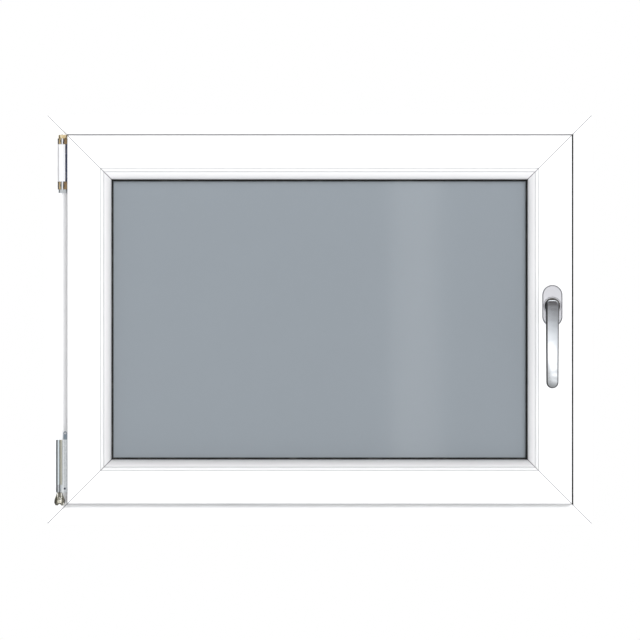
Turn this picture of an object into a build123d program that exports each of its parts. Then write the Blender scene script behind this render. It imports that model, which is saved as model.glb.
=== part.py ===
from build123d import *
import math
import os

# White tilt-and-turn PVC window, closed, seen from the room.
# +X is right, +Y is outdoors, +Z is up, and sizes are in millimetres.
# The origin is the middle of the frame's bottom face, halfway through its depth.
# Profiles are drawn as (u, y): u runs inwards from the frame's outer edge, y is depth.

# Overall sizes
frame_width = 800.0
frame_height = 600.0
profile_depth = 70.0
wall = 2.8
web = 1.8

# Frame profile
rebate_inset = 36.0
stop_inset = 58.0
clip_groove_depth = 2.0
clip_groove_width = 9.0
clip_groove_offset = 17.0

# Sash profile
sash_inset = 29.0
sash_proud = 20.0
overlap_gap = 3.0
stop_gap = 3.5
hardware_gap = 12.0
hardware_groove_depth = 4.0
hardware_groove_width = 12.0
sash_land = 77.3
platform_inset = 75.0
glass_flange = 20.0
glass_flange_thickness = 19.0
outdoor_bevel = 7.0
outdoor_bevel_depth = 12.0

# Glazing bead
bead_lip = 3.0
bead_foot_depth = 3.0
bead_foot_width = 4.0
bead_width = 16.7
bead_line = 4.5
bead_round = 11.5
bead_joint = 0.3
bead_gap = 0.25
bead_line_width = 1.2
bead_line_depth = 0.9

# Glazing unit
pane_thickness = 4.0
cavity = 16.0
block_thickness = 5.0
block_length = 100.0
glazing_seal_thickness = 3.0
glazing_seal_showing = 3.0
sealant_depth = 4.0
spacer_height = 6.5
spacer_wall = 0.8

# Seals of the overlap and of the stop
seal_groove = 3.0
seal_bulge = 1.2
overlap_seal_inset = 31.0
stop_seal_inset = 50.5
seal_flap_thickness = 1.0
seal_flap_top = 1.1
seal_flap_handle_side = 2.2

# Corner welds, cleaned out to a fine groove
weld_groove_width = 1.4
weld_groove_depth = 0.7

# Drainage of the sill
drain_slot_length = 28.0
drain_slot_height = 5.0
drain_inset = 110.0
drain_height = 24.0
drain_cap_margin = 4.0
drain_cap_thickness = 3.0

# Handle
handle_inset = 57.6
handle_height = 320.0
rosette_width = 29.5
rosette_length = 61.0
rosette_thickness = 8.0
rosette_bevel = 1.4
collar_radius = 13.0
collar_height = 4.0
collar_dish = 2.6
collar_rim = 1.4
neck_radius = 8.4
neck_clearance = 0.05
lever_length = 121.4
lever_top = 8.5
lever_crest = 72.0
lever_width = 19.4
lever_tip_width = 18.0
lever_projection = 50.0
lever_thickness = 11.0
lever_tip_thickness = 8.5
lever_root_sag = 20.0
lever_tip_sag = 3.4
lever_edge = 1.7
spindle_size = 7.0
spindle_end_gap = 5.7
spindle_socket = 18.0
spindle_hole_radius = 6.0

# Top hinge: a channel on the frame, a pin, and the stay's knuckle under a white cap
top_hinge_rise = 0.5
top_hinge_length = 85.5
top_hinge_width = 12.5
top_hinge_gap = 0.3
channel_thickness = 2.4
channel_depth = 15.5
channel_side = 9.0
channel_end = 5.2
top_pin_radius = 2.0
top_pin_out = 10.5
top_axis_inset = 7.1
cap_length = 55.0
cap_width = 11.0
cap_overhang = 1.2
cap_rise = 1.5
cap_depth = 16.5
cap_bevel = 2.6
cap_wall = 1.6
knuckle_radius = 3.2
strap_height = 26.0
strap_thickness = 2.0
strap_reach = 15.0
arm_plate_out = 13.5
arm_plate_gap = 0.4

# Bottom hinge: leaf on the sash's edge, frame bearing, pin
leaf_low = 45.5
leaf_length = 77.5
leaf_plate_width = 7.4
leaf_plate_thickness = 3.4
leaf_groove = 2.8
leaf_groove_depth = 3.5
leaf_foot = 11.5
leaf_out = 15.5
leaf_clearance = 3.3
leaf_screw_radius = 0.9
leaf_barrel_radius = 3.1
eyelet_width = 5.9
eyelet_hole = 1.4
eyelet_rise = 9.5
bearing_height = 19.0
bearing_radius = 8.0
bearing_neck = 3.6
bearing_flute = 1.9
bearing_notch = 4.2
bearing_post = 10.0
bottom_pin_radius = 1.9

# Running fits
pin_clearance = 0.05

# Depths that follow from the sizes above
frame_front = -profile_depth / 2
frame_back = profile_depth / 2
sash_front = frame_front - sash_proud
sash_back = sash_front + profile_depth
overlap_back = frame_front - overlap_gap
overlap_floor = overlap_back - seal_groove
stop_front = sash_back + stop_gap
flange_front = sash_back - glass_flange_thickness
room_web = (sash_front + flange_front) / 2
unit_back = flange_front - glazing_seal_thickness
unit_front = unit_back - 2 * pane_thickness - cavity
bead_back = unit_front - glazing_seal_thickness
bead_foot_front = bead_lip + (bead_back - sash_front - bead_lip - bead_foot_width) / 2
cavity_front = unit_front + pane_thickness
cavity_back = unit_back - pane_thickness

# Insets that follow from the sizes above
sash_side = rebate_inset + hardware_gap
flange_edge = platform_inset + glass_flange
bead_edge = sash_land + bead_width
glass_inset = platform_inset + block_thickness
seal_edge = bead_edge + glazing_seal_showing
handle_x = frame_width / 2 - handle_inset
sash_edge_x = -frame_width / 2 + sash_inset
lever_front = sash_front - lever_projection
collar_face = sash_front - rosette_thickness - collar_height
neck_sag = lever_root_sag * (lever_crest / (lever_crest + lever_top)) ** 2
neck_end = lever_front + neck_sag + lever_thickness * 0.6
top_right = sash_edge_x - top_hinge_gap
top_high = frame_height - sash_inset + top_hinge_rise
top_low = top_high - top_hinge_length
top_axis_x = top_right - top_axis_inset
top_axis_y = frame_front - top_pin_out
bottom_axis_x = sash_edge_x - leaf_plate_width - leaf_groove - leaf_barrel_radius
bottom_axis_y = frame_front - leaf_out + leaf_groove_depth
cap_middle = (top_low + top_high) / 2 + cap_rise
cap_left = top_right - top_hinge_width - cap_overhang
pin_length = leaf_length * 0.3
bead_curve = min(bead_round, bead_width - bead_line - 0.7, (bead_back - sash_front) * 0.6)


def profile(outline, rounds=(), chambers=()):
    """Face of an extruded profile, with some corners rounded and its chambers hollow."""
    face = make_face(Polyline(*outline, close=True))
    for corner, radius in rounds:
        vertex = face.vertices().sort_by_distance((*corner, 0))[0]
        face = fillet(vertex, radius)
    for chamber in chambers:
        face -= make_face(Polyline(*chamber, close=True))
    return face


def box_outline(u_low, u_high, y_low, y_high):
    """Corners of a rectangle in a profile."""
    return [(u_low, y_low), (u_high, y_low), (u_high, y_high), (u_low, y_high)]


def side_plane(side):
    """Plane and length of one side: its x is u, its y is depth, its z runs along the side."""
    half = frame_width / 2
    planes = {
        "bottom": (Plane((half, 0, 0), x_dir=(0, 0, 1), z_dir=(-1, 0, 0)), frame_width),
        "top": (Plane((-half, 0, frame_height), x_dir=(0, 0, -1), z_dir=(1, 0, 0)), frame_width),
        "left": (Plane((-half, 0, 0), x_dir=(1, 0, 0), z_dir=(0, 0, 1)), frame_height),
        "right": (Plane((half, 0, frame_height), x_dir=(-1, 0, 0), z_dir=(0, 0, -1)), frame_height),
    }
    return planes[side]


def weld_cutter(face_depth, inwards, reach):
    """Half of the groove along one mitre, on the face at face_depth."""
    half_width = weld_groove_width / 2
    outline = [
        (-1, face_depth - inwards),
        (half_width, face_depth - inwards),
        (half_width, face_depth),
        (0, face_depth + inwards * weld_groove_depth),
        (-1, face_depth + inwards * weld_groove_depth),
    ]
    mitre_plane = Plane((0, 0, 0), x_dir=(-1, 0, 1), z_dir=(-1, 0, -1))
    half_groove = mitre_plane * make_face(Polyline(*outline, close=True))
    return extrude(half_groove, amount=-reach * math.sqrt(2))


def mitred_bar(face, side, weld_faces=(), joint=0.0):
    """One side of a mitred rectangle: the profile, cut at 45 degrees at both ends."""
    plane, length = side_plane(side)
    box = face.bounding_box()
    reach = box.max.X + 5
    step = joint / math.sqrt(2)
    ends = [(0, step), (reach, reach + step), (reach, length - reach - step), (0, length - step)]
    depth = max(abs(box.min.Y), abs(box.max.Y)) + 5
    between_mitres = extrude(Plane.XZ * make_face(Polyline(*ends, close=True)), amount=depth, both=True)
    bar = extrude(face, amount=length) & between_mitres
    for face_depth, inwards in weld_faces:
        cutter = weld_cutter(face_depth, inwards, reach)
        bar -= cutter
        bar -= mirror(cutter, about=Plane.XY.offset(length / 2))
    return plane * bar


def mitred_ring(face):
    """A profile that runs round all four sides as one piece."""
    bars = [mitred_bar(face, side) for side in ("bottom", "top", "left", "right")]
    return bars[0] + bars[1:]


def frame_profile():
    """Outer frame: hollow box with an upstand that the sash closes against."""
    groove_low = clip_groove_offset - clip_groove_width / 2
    groove_high = clip_groove_offset + clip_groove_width / 2
    seal_high = stop_seal_inset + seal_groove
    outline = [
        (0, frame_front),
        (rebate_inset, frame_front),
        (rebate_inset, stop_front),
        (stop_seal_inset, stop_front),
        (stop_seal_inset, stop_front + seal_groove),
        (seal_high, stop_front + seal_groove),
        (seal_high, stop_front),
        (stop_inset, stop_front),
        (stop_inset, frame_back),
        (0, frame_back),
        (0, groove_high),
        (clip_groove_depth, groove_high),
        (clip_groove_depth, groove_low),
        (0, groove_low),
        (0, -groove_low),
        (clip_groove_depth, -groove_low),
        (clip_groove_depth, -groove_high),
        (0, -groove_high),
    ]
    rounds = [
        ((rebate_inset, frame_front), 1.5),
        ((stop_inset, frame_back), 3.0),
        ((stop_inset, stop_front), 1.0),
    ]
    low = clip_groove_depth + wall
    split = low + (rebate_inset - wall - low) * 0.32
    step = stop_front - web
    chambers = [
        box_outline(low, split, frame_front + wall, step - web),
        box_outline(split + web, rebate_inset - wall, frame_front + wall, step - web),
        box_outline(low, rebate_inset - wall, step, frame_back - wall),
        box_outline(rebate_inset - wall + web, stop_seal_inset - web, stop_front + wall, frame_back - wall),
    ]
    return profile(outline, rounds, chambers)


def sash_profile():
    """Sash: overlap to the room, hardware groove, bead groove and outdoor glass flange."""
    groove_back = bead_foot_front + bead_foot_width
    hardware_back = flange_front + bead_foot_width
    hardware_front = hardware_back - hardware_groove_width
    seal_high = overlap_seal_inset + seal_groove
    bead_groove = platform_inset - bead_foot_depth - 0.5
    outline = [
        (sash_inset, sash_front),
        (sash_land, sash_front),
        (sash_land, sash_front + bead_lip),
        (platform_inset, sash_front + bead_lip),
        (platform_inset, sash_front + bead_foot_front),
        (bead_groove, sash_front + bead_foot_front),
        (bead_groove, sash_front + groove_back),
        (platform_inset, sash_front + groove_back),
        (platform_inset, flange_front),
        (flange_edge, flange_front),
        (flange_edge, sash_back - outdoor_bevel_depth),
        (flange_edge - outdoor_bevel, sash_back),
        (sash_side, sash_back),
        (sash_side, hardware_back),
        (sash_side + hardware_groove_depth, hardware_back),
        (sash_side + hardware_groove_depth, hardware_front),
        (sash_side, hardware_front),
        (sash_side, overlap_back),
        (seal_high, overlap_back),
        (seal_high, overlap_floor),
        (overlap_seal_inset, overlap_floor),
        (overlap_seal_inset, overlap_back),
        (sash_inset, overlap_back),
    ]
    rounds = [
        ((sash_inset, sash_front), 2.5),
        ((sash_side, sash_back), 1.5),
        ((flange_edge - outdoor_bevel, sash_back), 2.0),
        ((flange_edge, sash_back - outdoor_bevel_depth), 2.0),
    ]
    low = sash_side + wall
    high = platform_inset - wall
    bevel_top = sash_back - outdoor_bevel_depth
    chambers = [
        box_outline(sash_inset + wall, sash_side - web, sash_front + wall, overlap_floor - wall),
        box_outline(low, bead_groove - wall, sash_front + wall, room_web - web),
        box_outline(low + hardware_groove_depth, high, room_web, flange_front + wall),
        box_outline(low, high, flange_front + wall + web, sash_back - wall),
        [
            (high + web, flange_front + wall),
            (flange_edge - wall, flange_front + wall),
            (flange_edge - wall, bevel_top - wall / 4),
            (flange_edge - outdoor_bevel - wall / 2, sash_back - wall),
            (high + web, sash_back - wall),
        ],
    ]
    return profile(outline, rounds, chambers)


def bead_profile():
    """Glazing bead: flat land, fine line, quarter round to the glass, snap foot."""
    land = sash_land + bead_gap
    line = sash_land + bead_line
    foot_high = sash_front + bead_foot_front + bead_foot_width - 0.3
    outline = [
        (land, sash_front),
        (line - bead_line_width / 2, sash_front),
        (line, sash_front + bead_line_depth),
        (line + bead_line_width / 2, sash_front),
        (bead_edge, sash_front),
        (bead_edge, bead_back),
        (platform_inset, bead_back),
        (platform_inset, foot_high),
        (platform_inset - bead_foot_depth, foot_high),
        (platform_inset - bead_foot_depth, sash_front + bead_foot_front),
        (platform_inset, sash_front + bead_foot_front),
        (platform_inset, sash_front + bead_lip),
        (land, sash_front + bead_lip),
    ]
    rounds = [((bead_edge, sash_front), bead_curve)]
    bead_wall = 2.0
    turn = sash_front + bead_curve
    chamber = [
        (sash_land + bead_wall, sash_front + bead_wall),
        (bead_edge - bead_curve + bead_wall, sash_front + bead_wall),
        (bead_edge - bead_curve * 0.3, sash_front + bead_curve * 0.68),
        (bead_edge - bead_wall, turn),
        (bead_edge - bead_wall, bead_back - bead_wall),
        (sash_land + bead_wall, bead_back - bead_wall),
    ]
    return profile(outline, rounds, [chamber])


def pushed_in_seal(groove_inset, groove_floor, groove_mouth, contact):
    """Seal with a foot that fills its groove and a bulb that reaches the contact face."""
    middle = (groove_mouth + contact) / 2
    outline = [
        (groove_inset, groove_floor),
        (groove_inset + seal_groove, groove_floor),
        (groove_inset + seal_groove, groove_mouth),
        (groove_inset + seal_groove + seal_bulge, middle),
        (groove_inset + seal_groove + seal_bulge / 3, contact),
        (groove_inset - seal_bulge / 3, contact),
        (groove_inset - seal_bulge, middle),
        (groove_inset, groove_mouth),
    ]
    return profile(outline)


def seal_flap(side, reach):
    """Thin flap of the overlap seal that shows past the sash's edge on one side."""
    inner = overlap_seal_inset + seal_groove
    outer = sash_inset - reach
    front = (overlap_back + frame_front - seal_flap_thickness) / 2
    outline = [
        (outer, front + seal_flap_thickness * 0.3),
        (outer + 0.4, front),
        (inner, front),
        (inner, front + seal_flap_thickness),
        (outer + 0.4, front + seal_flap_thickness),
        (outer, front + seal_flap_thickness * 0.7),
    ]
    return mitred_bar(profile(outline), side)


def inner_seal_profile():
    """Black lip between bead and glass."""
    outline = [
        (glass_inset + 5, bead_back),
        (seal_edge - 2, bead_back),
        (seal_edge, bead_back + 2),
        (seal_edge, unit_front),
        (glass_inset + 5, unit_front),
    ]
    return profile(outline, [((seal_edge - 2, bead_back), 1.0)])


def outer_seal_profile():
    """Black lip between glass and the sash's outdoor flange."""
    outline = [
        (glass_inset + 3, unit_back),
        (flange_edge + 3, unit_back),
        (flange_edge + 3, unit_back + 1),
        (flange_edge + 1, flange_front),
        (glass_inset + 3, flange_front),
    ]
    return profile(outline)


def spacer_profile():
    """Hollow spacer bar between the panes."""
    low = glass_inset + sealant_depth
    high = low + spacer_height
    front = cavity_front + spacer_wall
    back = cavity_back - spacer_wall
    hollow = box_outline(low + spacer_wall, high - spacer_wall, front, back)
    return profile(box_outline(low, high, cavity_front, cavity_back), chambers=[hollow])


def sealant_profile():
    """Edge sealant outside the spacer."""
    return profile(box_outline(glass_inset, glass_inset + sealant_depth, cavity_front, cavity_back))


def pane(y_front):
    """One sheet of glass."""
    sheet = Box(frame_width - 2 * glass_inset, pane_thickness, frame_height - 2 * glass_inset)
    return Pos(0, y_front + pane_thickness / 2, frame_height / 2) * sheet


def glazing_blocks():
    """Packers between the glass edge and the sash, two on every side."""
    depth = unit_back - unit_front
    middle_y = (unit_front + unit_back) / 2
    inset = platform_inset + block_thickness / 2
    x_place = frame_width / 2 - glass_inset - block_length
    z_place = frame_height / 2 - glass_inset - block_length
    level = Box(block_length, depth, block_thickness)
    upright = Box(block_thickness, depth, block_length)
    blocks = []
    for sign in (-1, 1):
        for z in (inset, frame_height - inset):
            blocks.append(Pos(sign * x_place, middle_y, z) * level)
        for x in (-frame_width / 2 + inset, frame_width / 2 - inset):
            blocks.append(Pos(x, middle_y, frame_height / 2 + sign * z_place) * upright)
    return blocks


def drain_slots():
    """Cutters for the two slots through the sill's outdoor wall."""
    slot = extrude(Plane.XZ * SlotOverall(drain_slot_length, drain_slot_height), amount=wall, both=True)
    x = frame_width / 2 - drain_inset
    return [Pos(sign * x, frame_back, drain_height) * slot for sign in (-1, 1)]


def drain_caps():
    """Hooded caps over the drain slots."""
    length = drain_slot_length + 2 * drain_cap_margin
    height = drain_slot_height + 2 * drain_cap_margin
    cap = extrude(Plane.XZ * RectangleRounded(length, height, 3), amount=-drain_cap_thickness)
    cap = chamfer(cap.faces().sort_by(Axis.Y)[-1].edges(), 1.0)
    mouth = Box(drain_slot_length, drain_cap_thickness, drain_cap_margin + drain_slot_height / 2)
    cap -= Pos(0, 0, -height / 2 + mouth.bounding_box().size.Z / 2 - 1) * mouth
    x = frame_width / 2 - drain_inset
    return [Pos(sign * x, frame_back, drain_height) * cap for sign in (-1, 1)]


def along_y(sketch, y_start, y_end):
    """Extrude a front-view sketch (x, z) from one depth to another."""
    return extrude(Plane.XZ.offset(-y_start) * sketch, amount=y_start - y_end)


def handle_rosette():
    """Oval plate on the sash with a dished collar that guides the lever's neck."""
    face = sash_front - rosette_thickness
    plate = along_y(SlotOverall(rosette_length, rosette_width, rotation=90), sash_front, face)
    plate = chamfer(plate.faces().sort_by(Axis.Y)[0].edges(), rosette_bevel)
    collar = along_y(Circle(collar_radius), face, collar_face)
    collar = chamfer(collar.faces().sort_by(Axis.Y)[0].edges(), collar_rim * 0.4)
    bore = along_y(Circle(neck_radius + neck_clearance), sash_front + 1, collar_face - 1)
    dish = Cone(neck_radius, collar_radius - collar_rim, collar_dish)
    dish = Pos(0, collar_face + collar_dish / 2, 0) * Rot(X=90) * dish
    return Pos(handle_x, 0, handle_height) * (plate + collar - bore - dish)


def lever_arc(crest, sag, end_height):
    """Arc that leaves the crest upright and bends back by sag at end_height."""
    run = end_height + lever_crest
    radius = (run**2 + sag**2) / (2 * sag)
    half_run = run / 2
    half_sag = radius - math.sqrt(radius**2 - half_run**2)
    middle = (crest + half_sag, half_run - lever_crest)
    return ThreePointArc((crest, -lever_crest), middle, (crest + sag, end_height))


def lever_side():
    """Side view of the grip (y, z): it bows out from the neck to its crest and back to the tip."""
    back_crest = lever_front + lever_thickness
    tip_back_sag = lever_tip_sag + lever_tip_thickness - lever_thickness
    front = lever_arc(lever_front, lever_root_sag, lever_top)
    front += lever_arc(lever_front, lever_tip_sag, -lever_length)
    back = lever_arc(back_crest, lever_root_sag, lever_top)
    back += lever_arc(back_crest, tip_back_sag, -lever_length)
    top_y = lever_front + lever_root_sag
    tip_y = lever_front + lever_tip_sag
    top = Line((top_y, lever_top), (top_y + lever_thickness, lever_top))
    tip = Line((tip_y, -lever_length), (tip_y + lever_tip_thickness, -lever_length))
    return make_face(front + back + top + tip)


def lever_grip():
    """Grip: its side view cut by its tapered front view, with its front edges broken."""
    tip_radius = lever_tip_width / 2
    thick = extrude(Plane.YZ * lever_side(), amount=lever_width, both=True)
    tip_circle = Pos(0, tip_radius - lever_length) * Circle(tip_radius)
    front_face = make_hull(Circle(lever_width / 2).edges() + tip_circle.edges())
    grip = thick & along_y(front_face, sash_front, lever_front - 10)
    front = grip.faces().filter_by(lambda face: face.normal_at().Y < -0.8)
    rim = front.edges().filter_by(lambda edge: abs(edge.center().Z + lever_crest) > 0.01)
    return chamfer(rim, lever_edge)


def handle_lever():
    """Neck and grip in one casting, with the spindle's square socket."""
    neck = along_y(Circle(neck_radius), sash_front - 0.5, neck_end)
    square = along_y(Rectangle(spindle_size, spindle_size), sash_front + 1, sash_front - spindle_socket)
    return Pos(handle_x, 0, handle_height) * (lever_grip() + neck - square)


def handle_spindle():
    """Square bar from the lever's socket into the sash."""
    square = Rectangle(spindle_size, spindle_size)
    bar = along_y(square, room_web - web - spindle_end_gap, sash_front - spindle_socket)
    return Pos(handle_x, 0, handle_height) * bar


def spindle_hole():
    """Clear round hole for the spindle through the sash's room-side wall."""
    hole = along_y(Circle(spindle_hole_radius), sash_front + 2 * wall, sash_front - 1)
    return Pos(handle_x, 0, handle_height) * hole


def upright_cylinder(x, y, z_low, length, radius):
    """Vertical cylinder from z_low upwards."""
    return Pos(x, y, z_low + length / 2) * Cylinder(radius, length)


def box_between(x_low, x_high, y_low, y_high, z_low, z_high):
    """Box from its six limits."""
    middle = Pos((x_low + x_high) / 2, (y_low + y_high) / 2, (z_low + z_high) / 2)
    return middle * Box(x_high - x_low, y_high - y_low, z_high - z_low)


def top_hinge_bore():
    """Cutter for the top hinge's pin, right through both ends and the knuckle."""
    radius = top_pin_radius + pin_clearance
    return upright_cylinder(top_axis_x, top_axis_y, top_low - 1, top_hinge_length + 2, radius)


def top_hinge_bracket():
    """Yellow channel on the frame's face: back plate, left side and upper end."""
    left = top_right - top_hinge_width
    side_right = cap_left + channel_thickness * 0.7
    front = frame_front - channel_depth
    plate_front = frame_front - channel_thickness
    side_front = frame_front - channel_side
    low = top_low + channel_end
    high = top_high - channel_end
    back_plate = box_between(cap_left, top_right, plate_front, frame_front, low, high)
    side = box_between(cap_left, side_right, side_front, frame_front, low, high)
    upper_end = box_between(left, top_right, front, frame_front, high, top_high)
    upper_end = fillet(upper_end.edges().filter_by(Axis.Z).group_by(Axis.Y)[0], 3.0)
    body = back_plate + side + upper_end
    return body - strap_window() - top_hinge_bore()


def top_hinge_foot():
    """Bright lower end of the channel."""
    left = top_right - top_hinge_width
    front = frame_front - channel_depth
    foot = box_between(left, top_right, front, frame_front, top_low, top_low + channel_end)
    foot = fillet(foot.edges().filter_by(Axis.Z).group_by(Axis.Y)[0], 3.0)
    return foot - top_hinge_bore()


def top_hinge_pin():
    """Round pin through both ends, with a domed head on top."""
    length = top_hinge_length + 0.8
    pin = upright_cylinder(top_axis_x, top_axis_y, top_low - 0.4, length, top_pin_radius)
    return chamfer(pin.edges().filter_by(GeomType.CIRCLE), 0.6)


def strap_window():
    """Cutter that lets the stay's strap through the channel and the overlap seal."""
    half = strap_height / 2 + 1
    return box_between(
        top_right - top_hinge_width + channel_thickness, sash_edge_x + rebate_inset,
        overlap_floor, frame_front + 1, cap_middle - half, cap_middle + half,
    )


def top_hinge_arm():
    """Stay arm: knuckle, plate beside the cap and strap that runs in behind the sash's overlap."""
    length = cap_length - 2 * cap_wall - 0.6
    knuckle = upright_cylinder(top_axis_x, top_axis_y, cap_middle - length / 2, length, knuckle_radius)
    low = cap_middle - strap_height / 2
    high = cap_middle + strap_height / 2
    gap_middle = (frame_front + overlap_back) / 2
    front = gap_middle - strap_thickness / 2
    back = gap_middle + strap_thickness / 2
    turn_x = sash_edge_x + rebate_inset - sash_inset + 1.0
    root = box_between(top_axis_x - 1.2, top_axis_x + 1.2, top_axis_y, back, low, high)
    strap = box_between(top_axis_x - 1.2, turn_x + strap_thickness, front, back, low, high)
    tongue = box_between(turn_x, turn_x + strap_thickness, front, front + strap_reach, low, high)
    plate_left = cap_left + cap_width + arm_plate_gap
    plate_right = sash_edge_x - arm_plate_gap
    plate_front = frame_front - arm_plate_out
    plate_back = frame_front - channel_thickness - arm_plate_gap
    cap_low = cap_middle - cap_length / 2
    cap_high = cap_middle + cap_length / 2
    plate = box_between(plate_left, plate_right, plate_front, plate_back, cap_low, cap_high)
    plate += box_between(plate_left, plate_right, plate_front, front, low, high)
    return knuckle + root + strap + tongue + plate - top_hinge_bore()


def top_hinge_room(radius, back, low, length):
    """Cutter round the top hinge's axis, open towards the frame."""
    left = top_axis_x - radius
    right = top_axis_x + radius
    mouth = box_between(left, right, top_axis_y, back, low, low + length)
    return upright_cylinder(top_axis_x, top_axis_y, low, length, radius) + mouth


def top_hinge_cap():
    """White cover clipped over the knuckle, bevelled in front and open at the back."""
    left = cap_left
    right = left + cap_width
    front = frame_front - channel_thickness - cap_depth
    back = frame_front - channel_side - 0.3
    outline = [
        (left, back),
        (left, front + cap_bevel),
        (left + cap_bevel * 0.7, front),
        (right - cap_bevel * 1.3, front),
        (right, front + cap_bevel * 1.2),
        (right, back),
    ]
    face = make_face(Polyline(*outline, close=True))
    face = fillet(face.vertices().group_by(Axis.Y)[0], 0.8)
    low = cap_middle - cap_length / 2
    shell = extrude(Plane.XY.offset(low) * face, amount=cap_length)
    shell = fillet(shell.edges().filter_by(Axis.X).group_by(Axis.Y)[0], 0.7)
    inside = top_hinge_room(knuckle_radius + 0.3, back + 1, low + cap_wall, cap_length - 2 * cap_wall)
    pin_way = top_hinge_room(top_pin_radius + 0.3, back + 1, low - 1, cap_length + 2)
    return shell - inside - pin_way


def bottom_hinge_leaf():
    """Sash-side leaf: front plate, edge plate, set-back web to the barrel, foot and eyelet."""
    front = frame_front - leaf_out
    plate_back = front + leaf_plate_thickness
    web_front = front + leaf_groove_depth
    high = leaf_low + leaf_length
    plate_left = sash_edge_x - leaf_plate_width
    web_left = plate_left - leaf_groove
    plate = box_between(plate_left, sash_edge_x, front, plate_back, leaf_low, high)
    plate = fillet(plate.edges().filter_by(Axis.Z).group_by(Axis.Y)[0].group_by(Axis.X)[0], 0.8)
    edge_back = frame_front - leaf_clearance
    edge_plate = box_between(sash_edge_x - 2.4, sash_edge_x, front, edge_back, leaf_low, high)
    web_plate = box_between(bottom_axis_x, plate_left + 1, web_front, web_front + 3, leaf_low, high)
    foot = box_between(web_left, sash_edge_x, front, web_front + 3, leaf_low, leaf_low + leaf_foot)
    foot = fillet(foot.edges().filter_by(Axis.Y).group_by(Axis.Z)[-1].group_by(Axis.X)[0], 2.0)
    barrel = upright_cylinder(bottom_axis_x, bottom_axis_y, leaf_low, leaf_length, leaf_barrel_radius)
    barrel = chamfer(barrel.edges().filter_by(GeomType.CIRCLE), 0.4)
    bore_radius = bottom_pin_radius + pin_clearance
    bore = upright_cylinder(bottom_axis_x, bottom_axis_y, leaf_low - 1, pin_length, bore_radius)
    eyelet_x = sash_edge_x - eyelet_width / 2
    ear_face = Circle(eyelet_width / 2) + Pos(0, -eyelet_rise) * Rectangle(eyelet_width, 2 * eyelet_rise)
    ear = Pos(eyelet_x, 0, high + eyelet_rise) * along_y(ear_face - Circle(eyelet_hole), plate_back, front)
    screw = Pos(sash_edge_x - leaf_plate_width / 2, 0, leaf_low + leaf_foot / 2)
    screw_hole = screw * along_y(Circle(leaf_screw_radius), front + 2, front - 1)
    return plate + edge_plate + web_plate + foot + barrel + ear - screw_hole - bore


def bottom_hinge_bearing():
    """Frame-side bearing: a fluted cup like a closed bud on a post from the frame's face."""
    low = leaf_low - bearing_height
    waist = bearing_radius * 0.78
    outline = [
        (0, 0),
        (waist, 0),
        (bearing_radius, bearing_height * 0.2),
        (bearing_radius * 0.98, bearing_height * 0.4),
        (bearing_radius * 0.8, bearing_height * 0.66),
        (bearing_neck, bearing_height),
        (0, bearing_height),
    ]
    cup = revolve(Plane.XZ * make_face(Polyline(*outline, close=True)), Axis.Z)
    flute = Pos(0, -bearing_radius, bearing_height / 2) * Cylinder(bearing_flute, bearing_height * 1.2)
    for angle in (-32, 32):
        cup -= Rot(Z=angle) * Rot(X=-9) * flute
    notch = Rot(X=90) * Cylinder(bearing_notch / 2, 4 * bearing_radius)
    cup -= notch
    offset = bearing_radius * 0.25
    bore = Cylinder(bottom_pin_radius + pin_clearance, bearing_height + 2)
    bore = Pos(-offset, 0, bearing_height / 2) * bore
    post_depth = frame_front - bottom_axis_y
    post = Box(bearing_post, post_depth, bearing_height * 0.6)
    post = Pos(0, post_depth / 2, bearing_height * 0.45) * post
    return Pos(bottom_axis_x + offset, bottom_axis_y, low) * (cup + post - bore)


def bottom_hinge_pin():
    """Pin that stands in the bearing and carries the leaf."""
    low = leaf_low - bearing_height * 0.6
    length = bearing_height * 0.6 + pin_length - 2
    return upright_cylinder(bottom_axis_x, bottom_axis_y, low, length, bottom_pin_radius)


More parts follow.
